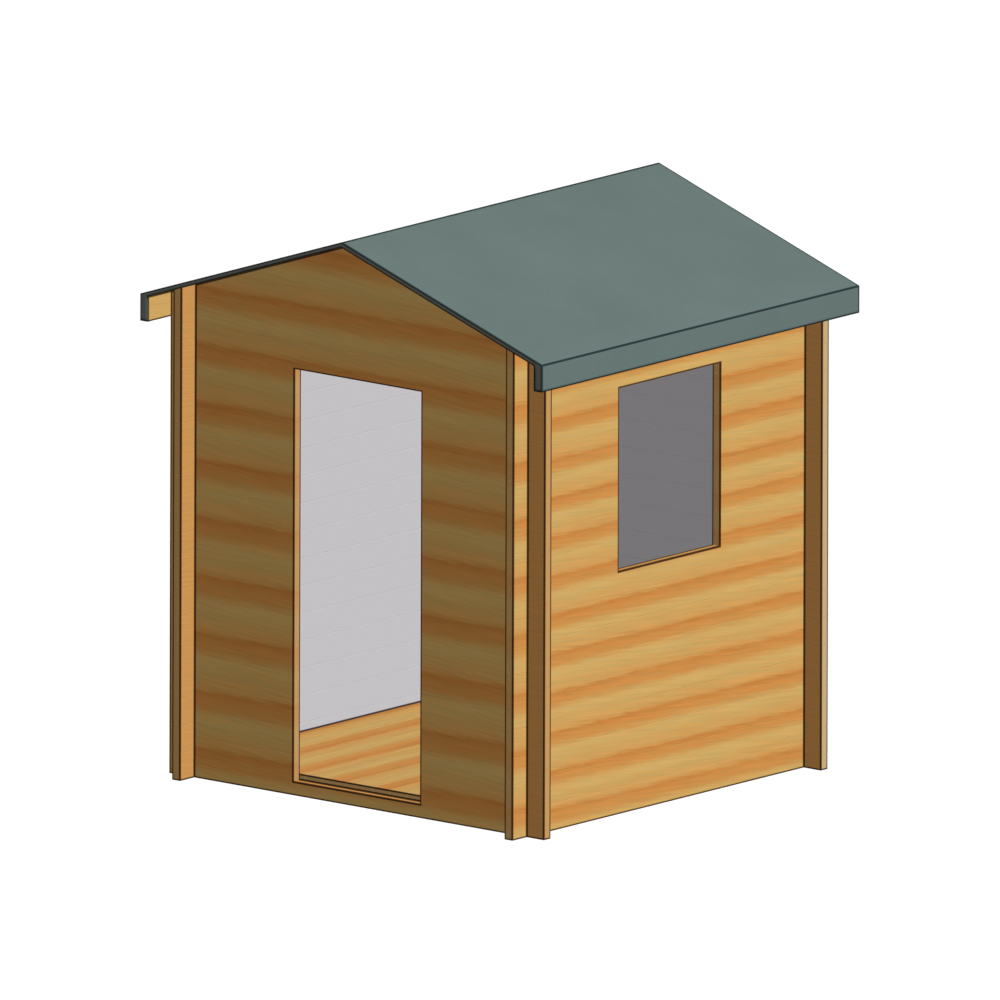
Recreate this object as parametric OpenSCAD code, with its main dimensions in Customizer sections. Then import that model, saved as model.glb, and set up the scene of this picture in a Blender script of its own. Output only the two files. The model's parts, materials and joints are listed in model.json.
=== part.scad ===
// Apex-roof log cabin: four walls of planed logs that interlock at the corners,
// an open doorway, one window opening, a boarded floor and a felted roof.
// The origin is at the middle of the cabin on the ground, +Z is up and the doorway faces -Y.
// All sizes are millimetres.

/* [Walls] */
// Width over the outer faces of the two side walls
wall_w = 1890; // [1500:5:3000]
// Depth over the outer faces of the front and back walls
wall_d = 1890; // [1500:5:3000]
// Height of the side walls at their outer faces
eaves_h = 2137; // [2020:1:2700]
// Thickness of every log
log_t = 44; // [28:1:70]
// Height of one course of logs
course_h = 120; // [95:1:150]
// Length of log that runs past each corner
tail_l = 95; // [50:1:150]
// Bevel along the long edges of the logs
edge_bevel = 1.5; // [0.5:0.5:4]

/* [Tongue and groove] */
// Width of the tongue on top of each log
tongue_w = 14; // [8:1:18]
// Height of the tongue
tongue_h = 9; // [5:1:12]
// Space left round the tongue in its groove
tongue_gap = 0.5; // [0.2:0.1:1]

/* [Doorway] */
// Clear width of the doorway
door_w = 705; // [550:5:1000]
// Clear height of the doorway above its sill log
door_h = 1800; // [1560:5:1850]

/* [Window opening] */
// Clear width of the window opening in the right wall
window_w = 676; // [400:4:1000]
// Height of the window sill above the ground
window_sill_h = 1060; // [700:5:1300]
// Clear height of the window opening
window_h = 800; // [400:5:900]

/* [Roof] */
// Slope of each roof pitch in degrees
roof_pitch = 18.84; // [15:0.01:26]
// Reach of the eaves beyond the outer faces of the side walls
eaves_reach = 170; // [160:5:300]
// Reach of the roof beyond the outer faces of the front and back walls
gable_reach = 115; // [115:5:300]
// Thickness of the roof boards
board_t = 19; // [12:1:28]
// Thickness of the roofing felt
felt_t = 2.5; // [1.5:0.5:5]
// Thickness of the eaves rails
rail_t = 41; // [19:1:50]
// Height of the felted edge along the eaves
eaves_edge_h = 118; // [80:1:160]
// Width of the ridge beam
ridge_w = 44; // [34:1:70]
// Height of the ridge beam
ridge_h = 95; // [70:1:160]
// Depth to which each end of the ridge beam is let into its gable
ridge_seat = 22; // [10:1:26]

/* [Floor] */
// Height of the top of the floor above the ground
floor_h = 84; // [65:1:110]
// Thickness of the floor boards
floor_t = 20; // [16:1:28]
// Gap round the edges of the floor boards
floor_gap = 8; // [2:1:15]
// Number of bearers under the floor
bearer_n = 5; // [3:1:9]
// Width of each bearer
bearer_w = 45; // [35:1:70]

/* [Hidden] */

PALE_WOOD = [0.82, 0.66, 0.38];
RED_WOOD = [0.80, 0.57, 0.30];
FELT = [0.42, 0.49, 0.47];

// The front and back walls start with half a log, so their joints fall
// halfway up the logs of the side walls, and each corner notch is a quarter of a log.
starter_h = course_h / 2;
notch_h = course_h / 4;

half_w = wall_w / 2;
half_d = wall_d / 2;
room_w = wall_w - 2 * log_t;
room_d = wall_d - 2 * log_t;

slope = tan(roof_pitch);
board_v = board_t / cos(roof_pitch);
felt_v = felt_t / cos(roof_pitch);
// Height of the underside of the roof boards over the middle of the cabin
apex_z = eaves_h + half_w * slope;
roof_half = half_w + eaves_reach;
// Where the roof boards and the eaves rails end, behind the felt
board_half = roof_half - felt_t;
rail_inner = board_half - rail_t;
roof_l = wall_d + 2 * gable_reach;
eaves_bottom = boards_top(roof_half) + felt_v - eaves_edge_h;

// Courses count from 1. Course 1 of a side wall lies on the ground,
// and course 1 of the front and back walls lies on the starter log.
side_n = ceil(under_roof(half_w - log_t) / course_h);
end_n = ceil((apex_z - starter_h) / course_h);
lintel_i = floor(door_h / course_h) + 1;
gable_i = floor((under_roof(half_w + tail_l) - tongue_h - starter_h) / course_h) + 1;
sill_i = ceil(window_sill_h / course_h);
head_i = floor((window_sill_h + window_h) / course_h) + 1;

function under_roof(x) = apex_z - abs(x) * slope;
function boards_top(x) = under_roof(x) + board_v;
function side_z(i) = (i - 1) * course_h;
function end_z(i) = starter_h + (i - 1) * course_h;
function odds(a, b) = [for (i = [a:1:b]) if (i % 2 == 1) i];
function evens(a, b) = [for (i = [a:1:b]) if (i % 2 == 0) i];
function wood(i) = i % 2 == 1 ? PALE_WOOD : RED_WOOD;

// ---- Log shapes ----

// Right half of a log's section, from its middle line out, standing on y = 0.
// A top log has a plain top, which the roof cuts.
function half_section(h, on_ground, is_top) = concat(
  on_ground
    ? [[log_t / 2, 0]]
    : [
        [tongue_w / 2 + tongue_gap, tongue_h + tongue_gap],
        [tongue_w / 2 + tongue_gap, 0],
        [log_t / 2 - edge_bevel, 0],
        [log_t / 2, edge_bevel]
      ],
  is_top
    ? [[log_t / 2, h + tongue_h]]
    : [
        [log_t / 2, h - edge_bevel],
        [log_t / 2 - edge_bevel, h],
        [tongue_w / 2, h],
        [tongue_w / 2, h + tongue_h]
      ]
);

// Section of a log: a tongue on top and, unless it lies on the ground, a groove below
module log_section(h, on_ground, is_top) {
  right = half_section(h, on_ground, is_top);
  last = len(right) - 1;
  polygon(concat(right, [for (i = [last:-1:0]) [-right[i][0], right[i][1]]]));
}

// The space that crossing logs take out of both ends of a log, above and below
module crossing_notches(z, h, span) {
  for (side = [-1, 1])
    translate([side * (span - log_t) / 2 - log_t / 2, -log_t, 0]) {
      translate([0, 0, z + h - notch_h])
        cube([log_t, 2 * log_t, 2 * notch_h]);
      if (h == course_h)
        translate([0, 0, z - notch_h])
          cube([log_t, 2 * log_t, 2 * notch_h]);
    }
}

// A whole notched log along X over a wall of the given span, with its middle at x = 0
module notched_log(z, h, span, is_top = false) {
  length = span + 2 * tail_l;
  difference() {
    translate([-length / 2, 0, z])
      rotate([90, 0, 90])
        linear_extrude(length)
          log_section(h, z == 0, is_top);
    crossing_notches(z, h, span);
  }
}

// Everything below the underside of the roof boards
module below_roof() {
  reach = half_w + 2 * tail_l;
  length = wall_d + 4 * tail_l;
  along_y(length)
    polygon([
      [-reach, -course_h], [reach, -course_h],
      [reach, under_roof(reach)], [0, apex_z], [-reach, under_roof(reach)]
    ]);
}

// Carries a section drawn in X and Z along Y, centred on y = 0
module along_y(length) {
  translate([0, length / 2, 0])
    rotate([90, 0, 0])
      linear_extrude(length)
        children();
}

// Cuts the logs that reach up to the roof
module cut_to_roof(top, limit) {
  if (top > limit)
    intersection() {
      children();
      below_roof();
    }
  else
    children();
}

// ---- Openings ----

// Each opening can be cut higher by some rise, which takes the top tongue off the logs beside it.
module doorway(rise = 0) {
  translate([-door_w / 2, -half_d - log_t, starter_h])
    cube([door_w, 3 * log_t, door_h + rise]);
}

module window_opening(rise = 0) {
  translate([half_w - 2 * log_t, -window_w / 2, window_sill_h])
    cube([3 * log_t, window_w, window_h + rise]);
}

// Keeps what lies before (side = -1) or after (side = 1) the middle of an opening
module one_side(side, axis) {
  reach = 2 * (wall_w + wall_d);
  intersection() {
    children();
    translate([
      axis == "x" ? (side - 1) * reach / 2 : -reach / 2,
      axis == "y" ? (side - 1) * reach / 2 : -reach / 2,
      -reach / 2
    ])
      cube(reach);
  }
}

// ---- Walls ----

// Course i of the front wall (face = -1) or the back wall (face = 1)
module end_log(i, face) {
  color(wood(i))
    difference() {
      cut_to_roof(end_z(i) + course_h + tongue_h, under_roof(half_w + tail_l))
        translate([0, face * (half_d - log_t / 2), 0])
          notched_log(end_z(i), course_h, wall_w, i == end_n);
      if (i >= gable_i)
        ridge_seats();
    }
}

module end_starter_log(face) {
  color(wood(0))
    translate([0, face * (half_d - log_t / 2), 0])
      notched_log(0, starter_h, wall_w);
}

module end_logs(courses, face) {
  for (i = courses)
    end_log(i, face);
}

// Course i of the left wall (face = -1) or the right wall (face = 1)
module side_log(i, face) {
  color(wood(i))
    cut_to_roof(side_z(i) + course_h + tongue_h, eaves_h)
      translate([face * (half_w - log_t / 2), 0, 0])
        rotate([0, 0, 90])
          notched_log(side_z(i), course_h, wall_d, i == side_n);
}

module side_logs(courses, face) {
  for (i = courses)
    side_log(i, face);
}

module front_starter_log() {
  difference() {
    end_starter_log(-1);
    doorway();
  }
}

// Logs beside the doorway, to its left (side = -1) or right (side = 1)
module front_jamb_logs(courses, side) {
  one_side(side, "x")
    difference() {
      end_logs(courses, -1);
      doorway(course_h);
    }
}

module front_lintel_log() {
  difference() {
    end_log(lintel_i, -1);
    doorway();
  }
}

// Logs beside the window opening, before it (side = -1) or behind it (side = 1)
module right_jamb_logs(courses, side) {
  one_side(side, "y")
    difference() {
      side_logs(courses, 1);
      window_opening(course_h);
    }
}

// The log under or over the window opening, cut down to the opening's edge
module right_trimmed_log(i) {
  difference() {
    side_log(i, 1);
    window_opening();
  }
}

// ---- Roof ----

module ridge_beam() {
  color(PALE_WOOD)
    along_y(room_d + 2 * ridge_seat)
      polygon([
        [-ridge_w / 2, apex_z - ridge_h], [ridge_w / 2, apex_z - ridge_h],
        [ridge_w / 2, under_roof(ridge_w / 2)], [0, apex_z],
        [-ridge_w / 2, under_roof(ridge_w / 2)]
      ]);
}

// The pockets in both gables that hold the ends of the ridge beam, open at the top
module ridge_seats() {
  along_y(room_d + 2 * ridge_seat)
    translate([-ridge_w / 2, apex_z - ridge_h])
      square([ridge_w, 2 * ridge_h]);
}

// The pieces of one pitch are drawn on the right and mirrored to the left.
module on_side(side) {
  if (side > 0)
    children();
  else
    mirror([1, 0, 0])
      children();
}

module roof_boards(side) {
  color(PALE_WOOD)
    on_side(side)
      along_y(roof_l - 2 * felt_t)
        polygon([
          [0, apex_z], [board_half, under_roof(board_half)],
          [board_half, boards_top(board_half)], [0, boards_top(0)]
        ]);
}

module eaves_rail(side) {
  color(PALE_WOOD)
    on_side(side)
      along_y(roof_l - 2 * felt_t)
        polygon([
          [rail_inner, eaves_bottom], [board_half, eaves_bottom],
          [board_half, under_roof(board_half)], [rail_inner, under_roof(rail_inner)]
        ]);
}

// The felt covers a pitch, turns down over the eaves rail, and covers
// the ends of the boards and of the rail.
module roof_felt(side) {
  color(FELT)
    on_side(side) {
      along_y(roof_l)
        polygon([
          [0, boards_top(0)], [board_half, boards_top(board_half)],
          [board_half, eaves_bottom], [roof_half, eaves_bottom],
          [roof_half, boards_top(roof_half) + felt_v], [0, boards_top(0) + felt_v]
        ]);
      for (end = [-1, 1])
        translate([0, end * (roof_l - felt_t) / 2, 0])
          along_y(felt_t)
            polygon([
              [0, apex_z], [rail_inner, under_roof(rail_inner)],
              [rail_inner, eaves_bottom], [board_half, eaves_bottom],
              [board_half, boards_top(board_half)], [0, boards_top(0)]
            ]);
    }
}

// ---- Floor ----

module floor_boards() {
  color(PALE_WOOD)
    translate([floor_gap - room_w / 2, floor_gap - room_d / 2, floor_h - floor_t])
      cube([room_w - 2 * floor_gap, room_d - 2 * floor_gap, floor_t]);
}

// The bearers lie on the ground and fit between the side walls.
module floor_bearers() {
  reach = room_d / 2 - floor_gap - bearer_w;
  color(RED_WOOD)
    for (i = [0:1:bearer_n - 1])
      translate([-room_w / 2, -reach + (2 * reach + bearer_w) * i / (bearer_n - 1) - bearer_w, 0])
        cube([room_w, bearer_w, floor_h - floor_t]);
}

// ---- Nodes ----

front_starter_log();
front_jamb_logs(odds(1, lintel_i - 1), -1);  // front_left_odd_logs
front_jamb_logs(evens(1, lintel_i - 1), -1);  // front_left_even_logs
front_jamb_logs(odds(1, lintel_i - 1), 1);  // front_right_odd_logs
front_jamb_logs(evens(1, lintel_i - 1), 1);  // front_right_even_logs
front_lintel_log();
end_logs(odds(lintel_i + 1, end_n), -1);  // front_gable_odd_logs
end_logs(evens(lintel_i + 1, end_n), -1);  // front_gable_even_logs

end_starter_log(1);  // back_starter_log
end_logs(odds(1, gable_i - 1), 1);  // back_odd_logs
end_logs(evens(1, gable_i - 1), 1);  // back_even_logs
end_logs(odds(gable_i, end_n), 1);  // back_gable_odd_logs
end_logs(evens(gable_i, end_n), 1);  // back_gable_even_logs

side_logs(odds(1, side_n), -1);  // left_odd_logs
side_logs(evens(1, side_n), -1);  // left_even_logs

side_logs(odds(1, sill_i - 1), 1);  // right_lower_odd_logs
side_logs(evens(1, sill_i - 1), 1);  // right_lower_even_logs
right_trimmed_log(sill_i);  // right_sill_log
right_jamb_logs(odds(sill_i + 1, head_i - 1), -1);  // right_front_odd_logs
right_jamb_logs(evens(sill_i + 1, head_i - 1), -1);  // right_front_even_logs
right_jamb_logs(odds(sill_i + 1, head_i - 1), 1);  // right_rear_odd_logs
right_jamb_logs(evens(sill_i + 1, head_i - 1), 1);  // right_rear_even_logs
right_trimmed_log(head_i);  // right_head_log
side_logs(odds(head_i + 1, side_n), 1);  // right_upper_odd_logs
side_logs(evens(head_i + 1, side_n), 1);  // right_upper_even_logs

ridge_beam();
roof_boards(-1);  // left_roof_boards
roof_boards(1);  // right_roof_boards
eaves_rail(-1);  // left_eaves_rail
eaves_rail(1);  // right_eaves_rail
roof_felt(-1);  // left_roof_felt
roof_felt(1);  // right_roof_felt

floor_boards();
floor_bearers();
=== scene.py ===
import json
import math

import bpy
import numpy as np
from mathutils import Matrix, Vector


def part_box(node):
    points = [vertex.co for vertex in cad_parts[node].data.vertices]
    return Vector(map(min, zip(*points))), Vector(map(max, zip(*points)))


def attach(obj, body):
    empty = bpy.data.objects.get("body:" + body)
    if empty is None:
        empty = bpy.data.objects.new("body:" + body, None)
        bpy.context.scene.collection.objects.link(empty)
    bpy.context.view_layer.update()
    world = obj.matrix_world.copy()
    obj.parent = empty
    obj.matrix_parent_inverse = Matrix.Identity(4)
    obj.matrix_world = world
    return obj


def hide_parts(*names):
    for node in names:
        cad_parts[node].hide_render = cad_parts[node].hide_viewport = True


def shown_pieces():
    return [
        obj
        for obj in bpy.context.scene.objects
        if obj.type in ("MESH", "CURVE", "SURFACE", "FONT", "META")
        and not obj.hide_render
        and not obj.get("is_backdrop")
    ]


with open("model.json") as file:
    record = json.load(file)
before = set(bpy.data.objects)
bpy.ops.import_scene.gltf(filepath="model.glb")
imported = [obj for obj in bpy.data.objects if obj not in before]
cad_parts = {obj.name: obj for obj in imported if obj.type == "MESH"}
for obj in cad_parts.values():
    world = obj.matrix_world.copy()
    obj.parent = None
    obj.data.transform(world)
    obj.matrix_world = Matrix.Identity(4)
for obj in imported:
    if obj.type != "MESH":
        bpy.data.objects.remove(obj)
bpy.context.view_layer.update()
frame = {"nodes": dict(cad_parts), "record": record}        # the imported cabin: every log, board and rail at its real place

print("cabin loaded:", len(frame["nodes"]), "nodes")


# Where things are, in metres, all read from the frame.
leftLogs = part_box("left_odd_logs")
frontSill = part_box("front_starter_log")
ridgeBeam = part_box("ridge_beam")
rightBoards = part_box("right_roof_boards")
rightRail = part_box("right_eaves_rail")
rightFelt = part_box("right_roof_felt")
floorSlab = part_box("floor_boards")
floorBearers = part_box("floor_bearers")

place = {
    "halfW": -leftLogs[0].x,                      # outer face of the side walls
    "halfD": -frontSill[0].y,                     # outer face of the front and back walls
    "logT": leftLogs[1].x - leftLogs[0].x,
    "tailX": frontSill[1].x,                      # where the front and back logs end
    "tailY": leftLogs[1].y,                       # where the side walls' logs end
    "floorTop": floorSlab[1].z,
    "apexZ": ridgeBeam[1].z,                      # underside of the boards at the ridge
    "boardHalf": rightBoards[1].x,
    "boardEnd": rightBoards[1].y,
    "railInner": rightRail[0].x,
    "eavesBottom": rightFelt[0].z,
    "roofHalf": rightFelt[1].x,
    "roofEnd": rightFelt[1].y,
    "ridgeZ": rightFelt[1].z,
}
place["slope"] = (place["apexZ"] - rightBoards[0].z) / place["boardHalf"]
place["boardV"] = rightBoards[1].z - place["apexZ"]      # a roof board's thickness, measured upright

place["innerX"] = place["halfW"] - place["logT"]         # inner faces of the walls
place["innerY"] = place["halfD"] - place["logT"]

# Upright arrises, as distances from the middle: the logs' ends, and both faces of the walls.
edgesX = (place["tailX"], place["halfW"], place["innerX"])
edgesY = (place["tailY"], place["halfD"], place["innerY"])

openingGap = 0.002        # the stated openings stop this far short of the timber round them
openings = {o["name"]: o["box_m"] for o in frame["record"]["physics"]["openings"]}
doorway = {
    "half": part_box("front_right_odd_logs")[0].x,
    "low": openings["doorway"][0][2] - openingGap,
    "high": openings["doorway"][1][2] + openingGap,
}
window = {
    "half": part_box("right_rear_odd_logs")[0].y,
    "low": openings["window"][0][2] - openingGap,
    "high": openings["window"][1][2] + openingGap,
}


def underRoof(x):
    # height of the boards' underside: it falls by the slope either way from the ridge
    return place["apexZ"] - abs(x) * place["slope"]


cameraLook = {
    "azimuth": 39.77,         # degrees, as the next two
    "elevation": 12.25,
    "roll": 0.18,
    "frameWidth": 4.266,      # metres across the picture
    "cornerRight": 0.1139,    # how far right of the middle the near corner stands, in metres
    "cornerBelow": 1.4386,    # and how far below it
    "distance": 12.0,
    "reach": 100.0,           # nothing further off than this is drawn
}


def setCamera(look):
    azimuth, elevation, roll = (math.radians(look[k]) for k in ("azimuth", "elevation", "roll"))
    back = Vector((
        math.sin(azimuth) * math.cos(elevation),
        -math.cos(azimuth) * math.cos(elevation),
        math.sin(elevation),
    ))
    levelRight = Vector((math.cos(azimuth), math.sin(azimuth), 0))
    levelUp = back.cross(levelRight)
    right = levelRight * math.cos(roll) + levelUp * math.sin(roll)
    up = levelUp * math.cos(roll) - levelRight * math.sin(roll)
    corner = Vector((place["halfW"], -place["halfD"], 0))
    spot = corner - right * look["cornerRight"] + up * look["cornerBelow"] + back * look["distance"]
    data = bpy.data.cameras.new("cabin_camera")
    data.type = "ORTHO"
    data.ortho_scale = look["frameWidth"]
    data.clip_end = look["reach"]
    camera = bpy.data.objects.new("cabin_camera", data)
    camera.matrix_world = Matrix.Translation(spot) @ Matrix((right, up, back)).transposed().to_4x4()
    bpy.context.collection.objects.link(camera)
    bpy.context.scene.camera = camera


# Each sun is soft, as many degrees across as it says, and throws no shadow: a face is lit by the way
# it points.
sunLook = {
    "key": {"towards": (0.93, -0.25, 0.80), "soft": 20, "gloss": True},
    "rim": {"towards": (-0.60, 0.48, 0.05), "soft": 20, "gloss": False},
    "under": {"towards": (0.0, 0.0, -0.22), "soft": 20, "gloss": False},
}
roomLight = {"sky": 0.07, "floorGlow": 0.10, "floorSize": 60.0}


def addSuns():
    for name, look in sunLook.items():
        towards = Vector(look["towards"])
        data = bpy.data.lights.new(name + "_sun", "SUN")
        data.energy = towards.length * math.pi    # a white face square to it looks that bright
        data.angle = math.radians(look["soft"])
        data.use_shadow = False
        sun = bpy.data.objects.new(name + "_sun", data)
        sun.visible_glossy = look["gloss"]
        sun.rotation_mode = "QUATERNION"
        sun.rotation_quaternion = towards.to_track_quat("Z", "Y")
        bpy.context.collection.objects.link(sun)


def addSky(look):
    # a white backdrop, whose light on the pieces is much fainter
    world = bpy.data.worlds.new("studio")
    world.use_nodes = True
    tree = world.node_tree
    tree.nodes.clear()
    seen = tree.nodes.new("ShaderNodeBackground")
    seen.inputs["Color"].default_value = (1, 1, 1, 1)
    soft = tree.nodes.new("ShaderNodeBackground")
    soft.inputs["Color"].default_value = (1, 1, 1, 1)
    soft.inputs["Strength"].default_value = look["sky"]
    path = tree.nodes.new("ShaderNodeLightPath")
    mix = tree.nodes.new("ShaderNodeMixShader")
    out = tree.nodes.new("ShaderNodeOutputWorld")
    tree.links.new(path.outputs["Is Camera Ray"], mix.inputs[0])
    tree.links.new(soft.outputs[0], mix.inputs[1])
    tree.links.new(seen.outputs[0], mix.inputs[2])
    tree.links.new(mix.outputs[0], out.inputs["Surface"])
    bpy.context.scene.world = world


def addFloor(look):
    # a white floor that glows a little and throws no light on the pieces
    half = look["floorSize"] / 2
    corners = np.array([[-half, -half, 0], [half, -half, 0], [half, half, 0], [-half, half, 0]])
    mesh = bpy.data.meshes.new("studio_floor")
    mesh.from_pydata(corners.tolist(), [], [(0, 1, 2, 3)])
    floor = bpy.data.objects.new("studio_floor", mesh)
    bpy.context.collection.objects.link(floor)
    floor.visible_diffuse = False
    floor.visible_glossy = False
    pale = bpy.data.materials.new("studio_floor")
    pale.use_nodes = True
    shader = pale.node_tree.nodes["Principled BSDF"]
    shader.inputs["Base Color"].default_value = (1, 1, 1, 1)
    shader.inputs["Roughness"].default_value = 1
    shader.inputs["Specular IOR Level"].default_value = 0
    shader.inputs["Emission Color"].default_value = (1, 1, 1, 1)
    shader.inputs["Emission Strength"].default_value = look["floorGlow"]
    mesh.materials.append(pale)
    floor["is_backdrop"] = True


setCamera(cameraLook)
addSuns()
addSky(roomLight)
addFloor(roomLight)
bpy.context.scene.view_settings.view_transform = "Standard"
print("camera and light set")


def shade(*colour):
    # a colour as a painter reads it, 0 to 255 each, turned into linear light by the usual screen curve
    parts = [c / 255 for c in colour]
    return [(c / 12.92 if c <= 0.04 else ((c + 0.055) / 1.055) ** 2.4) for c in parts]


def newTree(name):
    material = bpy.data.materials.new(name)
    material.use_nodes = True
    return material, material.node_tree


def put(tree, kind, sockets=(), **settings):
    # a new node: a socket is linked where its value is another node's output, and set where it isn't
    node = tree.nodes.new(kind)
    for key, value in settings.items():
        setattr(node, key, value)
    for key, value in dict(sockets).items():
        if isinstance(value, bpy.types.NodeSocket):
            tree.links.new(value, node.inputs[key])
        else:
            node.inputs[key].default_value = value
    return node


def surfaceSpot(tree):
    # where a point is and which way its face looks, as one vector and two sets of X, Y and Z
    spot = put(tree, "ShaderNodeTexCoord").outputs
    xyz = put(tree, "ShaderNodeSeparateXYZ", {0: spot["Object"]}).outputs
    facing = put(tree, "ShaderNodeSeparateXYZ", {0: spot["Normal"]}).outputs
    return spot["Object"], xyz, facing


def calc(tree, operation, *values):
    return put(tree, "ShaderNodeMath", dict(enumerate(values)), operation=operation).outputs[0]


def absolute(tree, value):
    return calc(tree, "ABSOLUTE", value)


def above(tree, value, limit):
    return calc(tree, "GREATER_THAN", value, limit)


def below(tree, value, limit):
    return calc(tree, "LESS_THAN", value, limit)


def both(tree, first, second):
    return calc(tree, "MULTIPLY", first, second)


def most(tree, first, *others):
    for other in others:
        first = calc(tree, "MAXIMUM", first, other)
    return first


def spread(tree, value, low, high, toLow=0.0, toHigh=1.0):
    sockets = {0: value, 1: low, 2: high, 3: toLow, 4: toHigh}
    return put(tree, "ShaderNodeMapRange", sockets).outputs[0]


def blend(tree, amount, first, second, kind="MIX"):
    # inputs 6 and 7 of a Mix node are its colours, and output 2 is their mix
    sockets = {0: amount, 6: first, 7: second}
    return put(tree, "ShaderNodeMix", sockets, data_type="RGBA", blend_type=kind).outputs[2]


def tinted(tree, mask, colour, tint):
    return blend(tree, mask, colour, (*tint, 1), "MULTIPLY")


def plainColour(tree, colour):
    node = put(tree, "ShaderNodeRGB")
    node.outputs[0].default_value = (*shade(*colour), 1)
    return node.outputs[0]


def ramp(tree, value, stops):
    node = put(tree, "ShaderNodeValToRGB", {0: value})
    band = node.color_ramp
    while len(band.elements) < len(stops):
        band.elements.new(0.5)
    for element, (at, colour) in zip(band.elements, stops):
        element.position = at
        element.color = (*shade(*colour), 1)
    return node.outputs[0]


bumpDepth = 0.001        # metres


def finish(tree, colour, roughness, height, bump, gloss):
    shader = tree.nodes["Principled BSDF"]
    shader.inputs["Specular IOR Level"].default_value = gloss
    tree.links.new(colour, shader.inputs["Base Color"])
    tree.links.new(roughness, shader.inputs["Roughness"])
    lift = put(tree, "ShaderNodeBump", {"Height": height, "Strength": bump, "Distance": bumpDepth})
    tree.links.new(lift.outputs[0], shader.inputs["Normal"])


def near(tree, value, centre, width, core=0.7):
    # 1 at the centre and over the core of the width, then falling to 0
    off = absolute(tree, calc(tree, "SUBTRACT", value, centre))
    return spread(tree, off, width * core, width, 1.0, 0.0)


def nearAny(tree, value, centres, width):
    return most(tree, *(near(tree, value, centre, width) for centre in centres))


def whereTwoMeet(tree, planes):
    # each entry is 1 on its own plane: where two planes meet the sum passes 1
    total = planes[0]
    for plane in planes[1:]:
        total = calc(tree, "ADD", total, plane)
    return put(tree, "ShaderNodeClamp", {0: calc(tree, "SUBTRACT", total, 1.0)}).outputs[0]


def ridgeHeight(tree, wideX, z):
    # how high a pitch through this point meets the ridge, which is the same all over a pitch
    return calc(tree, "MULTIPLY_ADD", wideX, place["slope"], z)


def openingOutline(tree, sideways, z, opening, width):
    # the outline of a rectangle: where the larger of the two distances past its sides is nothing
    halfHeight = (opening["high"] - opening["low"]) / 2
    middle = (opening["high"] + opening["low"]) / 2
    pastSide = calc(tree, "SUBTRACT", sideways, opening["half"])
    pastEnd = calc(tree, "SUBTRACT", absolute(tree, calc(tree, "SUBTRACT", z, middle)), halfHeight)
    return near(tree, calc(tree, "MAXIMUM", pastSide, pastEnd), 0.0, width)


timberLook = {
    # one turn of the figure up a wall: a pale stretch, then an orange one, darkest at its sharp top edge
    "figure": [
        (0.00, (209, 172, 103)), (0.10, (210, 169, 99)), (0.19, (206, 155, 86)), (0.26, (206, 144, 74)),
        (0.38, (207, 141, 72)), (0.455, (203, 135, 66)), (0.50, (198, 129, 61)), (0.535, (204, 142, 73)),
        (0.58, (209, 155, 85)), (0.66, (211, 161, 92)), (0.82, (206, 164, 95)), (1.00, (209, 172, 103)),
    ],
    "mean": (206, 153, 84),
    "plain": (203, 147, 82),
    "rail": (206, 165, 97),
    "cut": (200, 161, 105),
    "ring": (176, 128, 74),
    "inside": (196, 193, 196),
    "frontPitch": 0.252,      # height of one turn of the figure, in metres
    "sidePitch": 0.1705,
    "floorPitch": 0.248,
    "roofPitch": 0.21,
    "wholeTurns": 20,         # added to the height, so that it is never below 0
    "stray": 0.010,           # how far the whole figure wanders up and down, in metres
    "ragged": 0.044,          # and how far single fibres carry its edges
    "lean": 0.09,             # fall of the fibres against their run
    "faded": 0.80,            # share of the figure that is left where it fades most
    "fadeSpan": (0.32, 0.62),     # from most faded to not at all, in values of the fade noise
    "streak": 0.08,           # contrast of the grain streaks
    "coarseShare": 0.7,       # of the coarse streaks, the rest being fine ones
    "cool": (0.94, 1.005, 1.06),      # the tints that streaks run between
    "warm": (1.05, 0.985, 0.90),
    "bump": 0.3,
    "roughness": (0.62, 0.74),
    "logGloss": 0.15,
    "boardGloss": 0.1,
    "floorTone": 0.945,
    "faceLimits": (0.6, 0.6, 0.8),    # a face counts as looking along X, Y or Z from these on
    "boardEnd": 0.75,         # and as a board's end
    "tailStart": 0.0005,      # this far past the crossing wall a log is tail
    # painted shade on the bevels along the logs' upper edges, where each joint's lip would throw shadow
    "jointShade": (0.42, 0.42, 0.42),     # bevels along the upper edges of the front and back logs
    "bevelSlope": (0.4, 0.9),             # and how far up such a bevel looks
    "paintLap": 0.0017,       # how far the room's paint laps round the inner arrises
    "gapShade": (0.10, 0.08, 0.07),
    "gapTop": (0.003, 0.005),     # above the floor, the gap's shade fades out between these
    # dark lines painted along arrises: painted shade where pieces meet, and dark edge lines elsewhere
    "arris": (0.12, 0.09, 0.07),
    "arrisWidth": 0.0078,
    "sillEdge": 0.015,        # the same for the upper edges of a sill
}

endGrainLook = {
    "ringPitch": 0.0035,
    "ringStart": 0.6,         # the late wood's share of a ring begins here
    "heartDeep": 0.31,        # the rings' heart lies this far left of, or in front of, the middle
    "heartAway": 0.16,        # and this far up from where the rings begin
    "foldStart": 0.03,        # they run up the wall and back again, log by log, from here
    "foldHeight": 0.12,
    "planedShare": 0.35,      # share of the log's planed colour that shows through
    "back": (1.02, 1.30, 1.83),       # the back logs' ends are paler and less yellow
    # the darker ends beside the doorway are painted shade inside the opening
    "doorway": (0.92, 0.88, 0.955),   # and those beside the doorway a little darker
}

noiseSpan = (0.3, 0.7)        # nearly all of a noise's values lie between these

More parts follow.
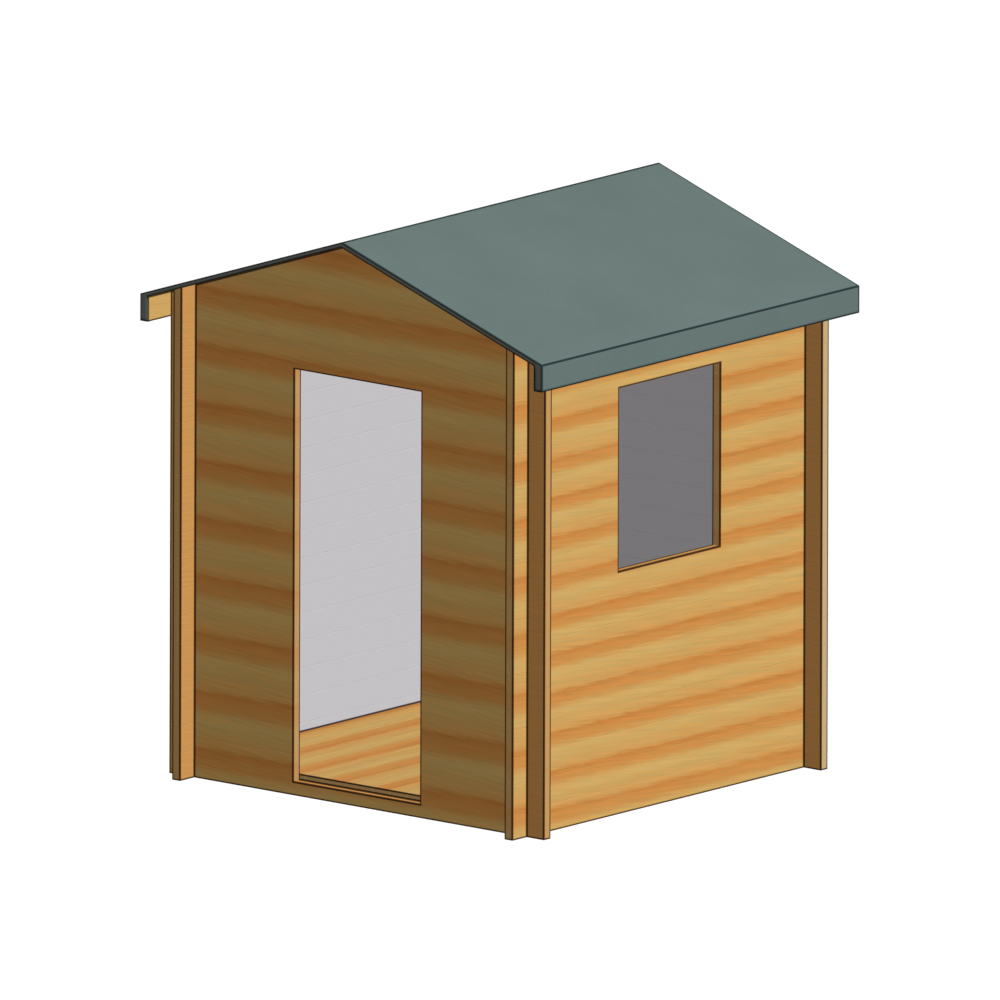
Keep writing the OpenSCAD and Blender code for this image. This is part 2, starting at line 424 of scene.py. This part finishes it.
# turns: noise to the metre along the grain, across it and through the piece
grainNoises = {
    "stray": {"turns": (1.1, 4.0, 1.0), "shift": 0.0, "detail": 2.0, "rough": 0.5},
    "fibre": {"turns": (8.0, 120.0, 30.0), "shift": 0.0, "detail": 3.0, "rough": 0.6},
    "fade": {"turns": (2.3, 9.0, 1.0), "shift": 0.0, "detail": 2.0, "rough": 0.5},
    "coarse": {"turns": (3.0, 90.0, 90.0), "shift": 0.0, "detail": 3.0, "rough": 0.5},
    "fine": {"turns": (9.0, 620.0, 620.0), "shift": 0.0, "detail": 2.0, "rough": 0.5},
    "hue": {"turns": (5.0, 70.0, 40.0), "shift": 5.0, "detail": 3.0, "rough": 0.6},
}


def grainNoise(tree, kind, along, across, deep):
    look = grainNoises[kind]
    turnsAlong, turnsAcross, turnsDeep = look["turns"]
    vector = put(tree, "ShaderNodeCombineXYZ", {
        0: calc(tree, "MULTIPLY", along, turnsAlong),
        1: calc(tree, "MULTIPLY", across, turnsAcross),
        2: calc(tree, "MULTIPLY_ADD", deep, turnsDeep, look["shift"]),
    }).outputs[0]
    sockets = {"Vector": vector, "Scale": 1.0, "Detail": look["detail"], "Roughness": look["rough"]}
    return put(tree, "ShaderNodeTexNoise", sockets).outputs["Fac"]


def timberFigure(tree, along, across, deep, pitch, look):
    # colour of planed timber whose grain runs along: a repeating ramp across it, pushed up and down by
    # a slow stray and by each fibre's own, and fading towards the mean colour in places
    lean = calc(tree, "MULTIPLY_ADD", along, look["lean"], across)
    stray = grainNoise(tree, "stray", along, across, deep)
    fibre = grainNoise(tree, "fibre", along, lean, deep)
    pushed = calc(tree, "MULTIPLY_ADD", stray, look["stray"], across)
    pushed = calc(tree, "MULTIPLY_ADD", fibre, look["ragged"], pushed)
    start = pitch * look["wholeTurns"] - (look["stray"] + look["ragged"]) / 2
    turn = calc(tree, "FRACT", calc(tree, "DIVIDE", calc(tree, "ADD", pushed, start), pitch))
    fade = grainNoise(tree, "fade", along, across, deep)
    keep = spread(tree, fade, *look["fadeSpan"], look["faded"], 1.0)
    colour = blend(tree, keep, (*shade(*look["mean"]), 1), ramp(tree, turn, look["figure"]))
    return grained(tree, colour, along, across, deep, look)


def grained(tree, colour, along, across, deep, look):
    # coarse streaks a centimetre wide over fine ones of a millimetre or two make the colour lighter
    # and darker, and a third set runs it between a cool and a warm tint
    lean = calc(tree, "MULTIPLY_ADD", along, look["lean"], across)
    coarse = grainNoise(tree, "coarse", along, lean, deep)
    fine = calc(tree, "MULTIPLY", grainNoise(tree, "fine", along, lean, deep), 1 - look["coarseShare"])
    streaks = calc(tree, "MULTIPLY_ADD", coarse, look["coarseShare"], fine)
    gain = spread(tree, streaks, *noiseSpan, 1 - look["streak"], 1 + look["streak"])
    scale = put(tree, "ShaderNodeCombineXYZ", {0: gain, 1: gain, 2: gain}).outputs[0]
    hue = spread(tree, grainNoise(tree, "hue", along, lean, deep), *noiseSpan)
    tint = blend(tree, hue, (*look["cool"], 1), (*look["warm"], 1))
    streaked = blend(tree, 1.0, colour, scale, "MULTIPLY")
    return blend(tree, 1.0, streaked, tint, "MULTIPLY"), streaks


def endGrain(tree, deep, z, planed, look):
    # rings about a heart off to one side: the radius is the root of the two distances' squares, and
    # what is left of it over whole rings says where in a ring a point lies
    fold = calc(tree, "PINGPONG", calc(tree, "SUBTRACT", z, look["foldStart"]), look["foldHeight"])
    sideways = calc(tree, "POWER", calc(tree, "ADD", deep, look["heartDeep"]), 2.0)
    upwards = calc(tree, "POWER", calc(tree, "SUBTRACT", fold, look["heartAway"]), 2.0)
    radius = calc(tree, "SQRT", calc(tree, "ADD", sideways, upwards))
    rings = calc(tree, "FRACT", calc(tree, "DIVIDE", radius, look["ringPitch"]))
    cut, ring = timberLook["cut"], timberLook["ring"]
    colour = ramp(tree, rings, [(0.0, cut), (look["ringStart"], cut), (1.0, ring)])
    return blend(tree, look["planedShare"], colour, planed)


def logTimber(name, endWall):
    # endWall: logs of the front and back walls run along X, the others along Y
    look = timberLook
    width = look["arrisWidth"]
    material, tree = newTree(name)
    _, (x, y, z), facing = surfaceSpot(tree)
    along, deep = (x, y) if endWall else (y, x)
    wideX, wideY = absolute(tree, x), absolute(tree, y)
    # the bevels of the joints count as part of the face beside them
    faceX, faceY, faceZ = (
        above(tree, absolute(tree, axis), limit) for axis, limit in zip(facing, look["faceLimits"]))

    # the walls have the figure and the tails are plainer, but for the right wall's, which have the front's
    pitch = look["frontPitch"] if endWall else look["sidePitch"]
    wall, streaks = timberFigure(tree, along, z, deep, pitch, look)
    tail, _ = grained(tree, plainColour(tree, look["plain"]), along, z, deep, look)
    if endWall:
        onTail = above(tree, wideX, place["halfW"] + look["tailStart"])
    else:
        onTail = above(tree, wideY, place["halfD"] + look["tailStart"])
        rightTail, _ = timberFigure(tree, along, z, deep, look["frontPitch"], look)
        tail = blend(tree, above(tree, x, 0.0), tail, rightTail)
    colour = blend(tree, onTail, wall, tail)

    # end grain
    endFace = faceX if endWall else faceY
    colour = blend(tree, endFace, colour, endGrain(tree, deep, z, colour, endGrainLook))
    if endWall:
        atBack = both(tree, endFace, above(tree, y, 0.0))
        colour = tinted(tree, atBack, colour, endGrainLook["back"])
        # painted shade on the end grain beside the doorway
        inDoorway = both(tree, endFace, below(tree, wideX, doorway["half"] + width))
        colour = tinted(tree, inDoorway, colour, endGrainLook["doorway"])

    # the room's faces are painted pale grey
    inRoom = both(
        tree,
        below(tree, wideX, place["innerX"] + look["paintLap"]),
        below(tree, wideY, place["innerY"] + look["paintLap"]))
    colour = blend(tree, inRoom, colour, (*shade(*look["inside"]), 1))

    # painted shade at their foot, in and just above the gap round the floor
    fadeLow, fadeHigh = (place["floorTop"] + rise for rise in look["gapTop"])
    atGap = both(tree, inRoom, spread(tree, z, fadeLow, fadeHigh, 1.0, 0.0))
    colour = tinted(tree, atGap, colour, look["gapShade"])

    # painted shade: each joint's upper log would shade the bevel below it, so that bevel is painted darker
    if endWall:
        slopeLow, slopeHigh = look["bevelSlope"]
        bevel = both(tree, above(tree, facing[2], slopeLow), below(tree, facing[2], slopeHigh))
        colour = tinted(tree, bevel, colour, look["jointShade"])

    # dark lines painted along the arrises: painted shade in the corners where the walls cross, under the
    # roof and at the walls' foot, and dark edge lines along the tails' outer corners, the sills and the
    # edges of the openings
    acrossX = nearAny(tree, wideX, edgesX, width)
    acrossY = nearAny(tree, wideY, edgesY, width)
    if endWall:
        outline = both(tree, openingOutline(tree, wideX, z, doorway, width), below(tree, y, 0.0))
        roofLine = near(tree, ridgeHeight(tree, wideX, z), place["apexZ"], width)
        acrossX = most(tree, acrossX, outline, roofLine)
        sillEdges = nearAny(tree, wideY, (place["halfD"], place["innerY"]), look["sillEdge"])
    else:
        outline = both(tree, openingOutline(tree, wideY, z, window, width), above(tree, x, 0.0))
        acrossY = most(tree, acrossY, outline)
        sillEdges = nearAny(tree, wideX, (place["halfW"], place["innerX"]), look["sillEdge"])
    arrises = most(
        tree,
        both(tree, faceY, acrossX),
        both(tree, faceX, acrossY),
        both(tree, faceZ, sillEdges),
        near(tree, z, 0.0, width))
    colour = tinted(tree, arrises, colour, look["arris"])

    rough = spread(tree, streaks, *noiseSpan, *look["roughness"])
    finish(tree, colour, rough, streaks, look["bump"], look["logGloss"])
    return material


def boardTimber(name, axes, pitch=None, sides=(), tone=1.0):
    # axes: which of X, Y and Z run along the grain, across the face and through the piece;
    # without a pitch the timber is plain; sides: (axis, place) of each side, dark where two of them meet
    look = timberLook
    material, tree = newTree(name)
    _, xyz, facing = surfaceSpot(tree)
    order = ["XYZ".index(axis) for axis in axes]
    along, across, deep = (xyz[k] for k in order)
    if pitch:
        colour, streaks = timberFigure(tree, along, across, deep, pitch, look)
    else:
        colour, streaks = grained(tree, plainColour(tree, look["rail"]), along, across, deep, look)
    colour = tinted(tree, 1.0, colour, (tone, tone, tone))
    onEnd = above(tree, absolute(tree, facing[order[0]]), look["boardEnd"])
    colour = blend(tree, onEnd, colour, (*shade(*look["cut"]), 1))
    # dark lines painted where two sides meet: painted shade along edges that meet other pieces, and dark
    # edge lines on the open ones
    if sides:
        wide = (absolute(tree, xyz[0]), absolute(tree, xyz[1]), xyz[2])
        planes = [near(tree, wide[axis], at, look["arrisWidth"]) for axis, at in sides]
        colour = tinted(tree, whereTwoMeet(tree, planes), colour, look["arris"])
    rough = spread(tree, streaks, *noiseSpan, *look["roughness"])
    finish(tree, colour, rough, streaks, look["bump"], look["boardGloss"])
    return material


feltLook = {
    "tones": [(0.15, (93, 110, 107)), (0.5, (102, 119, 116)), (0.85, (110, 127, 124))],
    "grain": 900.0,           # chippings to the metre
    "cloud": 2.5,             # clouds to the metre
    "cloudDetail": 4.0,
    "cloudShare": 0.5,        # of the clouds in the tone, the rest being the chippings' own
    "bump": 0.5,
    "roughness": (0.85, 0.95),
    "gloss": 0.15,
    # the gable tint is painted shade: flaps that look along Y are made darker and warmer than the same felt
    # elsewhere
    "gable": (1.13, 0.86, 0.79),      # tint of the flaps over the gables
    "gableFace": 0.75,        # a face counts as looking along Y from this on
    "crease": (0.16, 0.19, 0.21),     # bare bitumen where the chippings have worn off the folds
    "creaseWidth": 0.0072,
    "topCrease": 0.0115,      # along the ridge and the gables' upper edges
}


def roofFeltMaterial(look):
    # mineral chippings: fine grains of three greys over slow, faint clouds
    width = look["creaseWidth"]
    material, tree = newTree("roof_felt")
    spot, xyz, facing = surfaceSpot(tree)
    grains = put(tree, "ShaderNodeTexVoronoi", {"Vector": spot, "Scale": look["grain"]}, feature="F1")
    cloudSockets = {"Vector": spot, "Scale": look["cloud"], "Detail": look["cloudDetail"]}
    clouds = put(tree, "ShaderNodeTexNoise", cloudSockets).outputs["Fac"]
    own = put(tree, "ShaderNodeSeparateColor", {0: grains.outputs["Color"]}).outputs[0]
    cloudPart = calc(tree, "MULTIPLY", clouds, look["cloudShare"])
    tone = calc(tree, "MULTIPLY_ADD", own, 1 - look["cloudShare"], cloudPart)
    # painted shade: faces that look along Y get the darker, warmer gable tint
    onGable = above(tree, absolute(tree, facing[1]), look["gableFace"])
    colour = tinted(tree, onGable, ramp(tree, tone, look["tones"]), look["gable"])

    # dark creases wherever two of the roof's planes meet
    wideX, wideY, z = absolute(tree, xyz[0]), absolute(tree, xyz[1]), xyz[2]
    upPitch = ridgeHeight(tree, wideX, z)
    offGable = calc(tree, "SUBTRACT", 1.0, onGable)
    railEnd = both(tree, onGable, below(tree, upPitch, place["apexZ"] + width))
    boardEnds = both(tree, onGable, below(tree, wideX, place["railInner"] + width))
    creases = whereTwoMeet(tree, [
        near(tree, wideX, place["roofHalf"], width),
        near(tree, upPitch, place["ridgeZ"], width),
        near(tree, wideY, place["roofEnd"], look["topCrease"]),
        near(tree, z, place["eavesBottom"], width),
        both(tree, offGable, near(tree, wideX, 0.0, look["topCrease"])),
        both(tree, railEnd, near(tree, wideX, place["railInner"], width)),
        both(tree, boardEnds, near(tree, upPitch, place["apexZ"], width))])
    colour = tinted(tree, creases, colour, look["crease"])
    rough = spread(tree, own, 0.0, 1.0, *look["roughness"])
    finish(tree, colour, rough, grains.outputs["Distance"], look["bump"], look["gloss"])
    return material


def upperSides(box):
    return [(axis, box[1][axis]) for axis in range(3)]


railSides = upperSides(rightRail) + [(0, rightRail[0].x), (2, rightRail[0].z)]
finishes = {
    "endWall": logTimber("log_timber_front_back", True),
    "sideWall": logTimber("log_timber_sides", False),
    "floor": boardTimber(
        "floor_timber", "YXZ", timberLook["floorPitch"], upperSides(floorSlab), timberLook["floorTone"]),
    "roof": boardTimber("roof_timber", "XYZ", timberLook["roofPitch"]),
    "rail": boardTimber("rail_timber", "YZX", sides=railSides),
    "bearer": boardTimber("bearer_timber", "XYZ", sides=upperSides(floorBearers)),
    "felt": roofFeltMaterial(feltLook),
}
print("finishes made:", len(finishes))


def dress(node, material):
    mesh = frame["nodes"][node].data
    mesh.materials.clear()
    mesh.materials.append(material)


for node in frame["nodes"]:
    if node.startswith(("front", "back")):
        dress(node, finishes["endWall"])
    elif "rail" in node:
        dress(node, finishes["rail"])
    elif node == "ridge_beam":
        dress(node, finishes["roof"])
    elif node == "floor_bearers":
        dress(node, finishes["bearer"])
    elif "log" in node:
        dress(node, finishes["sideWall"])
print("nodes dressed")


def makePiece(name, points, faces, material, nodes):
    # points: (n, 3) array; faces: lists of point numbers, already facing outwards
    mesh = bpy.data.meshes.new(name)
    mesh.from_pydata(points.tolist(), [], faces)
    mesh.update()
    piece = bpy.data.objects.new(name, mesh)
    bpy.context.collection.objects.link(piece)
    mesh.materials.append(material)
    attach(piece, "root")
    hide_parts(*nodes)
    return piece


def signedVolume(points, quads):
    # six times the volume between the first point and each quad's two triangles, summed: positive
    # when the faces look outwards
    a, b, c, d = (points[quads[:, k]] - points[0] for k in range(4))
    return float((np.einsum("ij,ij->i", a, np.cross(b, c)) + np.einsum("ij,ij->i", a, np.cross(c, d))).sum())


def sweptBars(rings):
    # rings: (bars, stations, corners, 3), the same closed profile carried along each bar; side quads
    # join each ring to the next, one flat face closes each end, and all are turned to look outwards
    bars, stations, corners, _ = rings.shape
    bar, station, corner = np.meshgrid(
        np.arange(bars), np.arange(stations - 1), np.arange(corners), indexing="ij")
    here = (bar * stations + station) * corners
    after = (corner + 1) % corners
    sides = np.stack([here + corner, here + after, here + corners + after, here + corners + corner], -1)
    first = (np.arange(bars) * stations * corners)[:, None] + np.arange(corners)[::-1]
    last = (np.arange(1, bars + 1) * stations * corners)[:, None] - 1 - np.arange(corners)[::-1]
    faces = sides.reshape(-1, 4).tolist() + first.tolist() + last.tolist()
    points = rings.reshape(-1, 3)
    if signedVolume(points, sides.reshape(-1, 4)) < 0:
        faces = [face[::-1] for face in faces]
    return points, faces


def easedProfile(width, low, high, lowEase, highEase, steps=4):
    # a board's end view: a rectangle from low to high whose corners are quarter circles
    # of radius lowEase below and highEase above
    quarter = np.linspace(0, math.pi / 2, steps)
    half = width / 2
    corners = []
    # each corner: its side, whether it is low or high, its radius and the quarter turn it starts at
    for side, rise, ease, begin in (
            (1, -1, lowEase, 3), (1, 1, highEase, 0), (-1, 1, highEase, 1), (-1, -1, lowEase, 2)):
        angle = quarter + begin * math.pi / 2
        centreX = side * (half - ease)
        centreZ = (high - ease) if rise > 0 else (low + ease)
        corners.append(np.stack([centreX + ease * np.cos(angle), centreZ + ease * np.sin(angle)], -1))
    return np.concatenate(corners)


# gap: between two boards; ease: radius of their arrises, in metres
floorBoardLook = {"boards": 19, "gap": 0.0008, "topEase": 0.0015, "underEase": 0.0005}


def layFloor(look):
    # the boards run from front to back, side by side between the side walls
    low, high = floorSlab
    pitch = (high.x - low.x) / look["boards"]
    profile = easedProfile(pitch - look["gap"], low.z, high.z, look["underEase"], look["topEase"])
    middles = low.x + pitch * (np.arange(look["boards"]) + 0.5)
    rings = np.empty((look["boards"], 2, len(profile), 3))
    rings[..., 0] = middles[:, None, None] + profile[:, 0]
    rings[..., 1] = np.array([low.y, high.y])[:, None]
    rings[..., 2] = profile[:, 1]
    points, faces = sweptBars(rings)
    return makePiece("floor_planks", points, faces, finishes["floor"], ["floor_boards"])


layFloor(floorBoardLook)
print("floor laid")


roofBoardLook = {"boards": 24, "gap": 0.0004, "underEase": 0.003, "topEase": 0.0005}


def layRoofBoards(side, look):
    # the boards run down the slope from the ridge to the eaves: each point of the end view rises
    # by its own height above the sloping underside, and both ends are cut upright
    pitch = 2 * place["boardEnd"] / look["boards"]
    profile = easedProfile(pitch - look["gap"], 0.0, place["boardV"], look["underEase"], look["topEase"])
    middles = -place["boardEnd"] + pitch * (np.arange(look["boards"]) + 0.5)
    reach = np.array([0.0, place["boardHalf"]])[:, None]
    rings = np.empty((look["boards"], 2, len(profile), 3))
    rings[..., 0] = side * reach
    rings[..., 1] = middles[:, None, None] + profile[:, 0]
    rings[..., 2] = underRoof(reach) + profile[:, 1]
    points, faces = sweptBars(rings)
    name = "right" if side > 0 else "left"
    replaced = [name + "_roof_boards"]
    return makePiece(name + "_roof_planks", points, faces, finishes["roof"], replaced)


layRoofBoards(-1, roofBoardLook)
layRoofBoards(1, roofBoardLook)
print("roof boarded")


feltSheetLook = {
    "eavesFold": 0.004,       # radius of the fold over each eaves rail
    "ridgeFold": 0.012,
    "gableFold": 0.003,
    "arcSteps": 7,
    "slopeParts": 8,          # lengths that each flat stretch from eaves to eaves is cut into
    "flapParts": 3,           # and each turned-down gable flap
    "thickness": 0.0023,
}


def foldedLine(corners, radii, steps):
    # a line through the corners with each inner one rounded: the arc's middle lies on the corner's
    # bisector, at the radius over the sine of half its angle, so that it touches both straights
    line = [corners[:1]]
    for before, corner, after, radius in zip(corners, corners[1:], corners[2:], radii):
        inward = (before - corner) / np.linalg.norm(before - corner)
        onward = (after - corner) / np.linalg.norm(after - corner)
        half = math.acos(np.clip(inward @ onward, -1, 1)) / 2
        middle = corner + (inward + onward) / np.linalg.norm(inward + onward) * radius / math.sin(half)
        sweep = np.linspace(-(math.pi / 2 - half), math.pi / 2 - half, steps)[:, None]
        axis = (corner - middle) / np.linalg.norm(corner - middle)
        across = (onward - inward) / np.linalg.norm(onward - inward)
        line.append(middle + radius * (np.cos(sweep) * axis + np.sin(sweep) * across))
    line.append(corners[-1:])
    return line


def filled(line, ends, share):
    # new points on each flat stretch, at the same shares of all of them
    between = [line[end - 1] * (1 - share) + line[end] * share for end in ends]
    return np.insert(line, np.repeat(ends, len(share)), np.concatenate(between), 0)


def feltLines(look):
    # two lines from eaves to eaves, point for point: the outer one over the roof with rounded folds, and
    # the inner one, which the gable flaps reach: the rail's inner edge and the boards' underside
    p = place
    eavesTop = p["ridgeZ"] - p["slope"] * p["roofHalf"]
    railTop = underRoof(p["railInner"])
    outer = np.array([
        [p["roofHalf"], p["eavesBottom"]], [p["roofHalf"], eavesTop], [0, p["ridgeZ"]],
        [-p["roofHalf"], eavesTop], [-p["roofHalf"], p["eavesBottom"]]])
    inner = np.array([
        [p["railInner"], p["eavesBottom"]], [p["railInner"], railTop], [0, p["apexZ"]],
        [-p["railInner"], railTop], [-p["railInner"], p["eavesBottom"]]])
    parts = foldedLine(outer, (look["eavesFold"], look["ridgeFold"], look["eavesFold"]), look["arcSteps"])
    sizes = [len(part) for part in parts]
    ends = np.cumsum(sizes)[:-1]
    share = np.linspace(0, 1, look["slopeParts"] + 1)[1:-1, None]
    outside = filled(np.concatenate(parts), ends, share)
    inside = filled(np.repeat(inner, sizes, 0), ends, share)
    return outside, inside


def hangFelt(look):
    # one sheet over both pitches: the outer line is carried along the ridge, and at each gable every
    # point slides from it towards the inner line, by the depth of a quarter-round fold and then evenly
    outside, inside = feltLines(look)
    fold = look["gableFold"]
    quarter = np.linspace(0, math.pi / 2, look["arcSteps"])
    depth = np.linalg.norm(outside - inside, axis=1)
    bend = np.minimum(fold * (1 - np.cos(quarter))[:, None] / depth, 1)
    drop = np.linspace(0, 1, look["flapParts"] + 1)[1:, None]
    flap = bend[-1] + (1 - bend[-1]) * drop
    slide = np.concatenate([flap[::-1], bend[::-1], bend, flap])
    edge = place["roofEnd"]
    out = np.concatenate([edge - fold + fold * np.sin(quarter), np.full(len(drop), edge)])
    along = np.concatenate([-out[::-1], out])

    grid = np.empty((*slide.shape, 3))
    grid[..., [0, 2]] = outside + (inside - outside) * slide[..., None]
    grid[..., 1] = along[:, None]
    rows, columns = slide.shape
    row, column = np.meshgrid(np.arange(rows - 1), np.arange(columns - 1), indexing="ij")
    corner = row * columns + column
    faces = np.stack([corner, corner + 1, corner + columns + 1, corner + columns], -1).reshape(-1, 4)
    points = grid.reshape(-1, 3)
    # the middle face lies on the roof, so it has to look up
    middle = faces[len(faces) // 2]
    normal = np.cross(points[middle[1]] - points[middle[0]], points[middle[3]] - points[middle[0]])
    if normal[2] < 0:
        faces = faces[:, ::-1]
    replaced = ["left_roof_felt", "right_roof_felt"]
    sheet = makePiece("roofing_felt", points, faces.tolist(), finishes["felt"], replaced)
    sheet.data.shade_smooth()
    solid = sheet.modifiers.new("thickness", "SOLIDIFY")
    solid.thickness = look["thickness"]
    solid.offset = -1
    return sheet


hangFelt(feltSheetLook)
print("felt hung")


# The pieces throw no light on each other, which keeps the room as evenly lit as the walls outside.
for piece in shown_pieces():
    piece.visible_diffuse = False
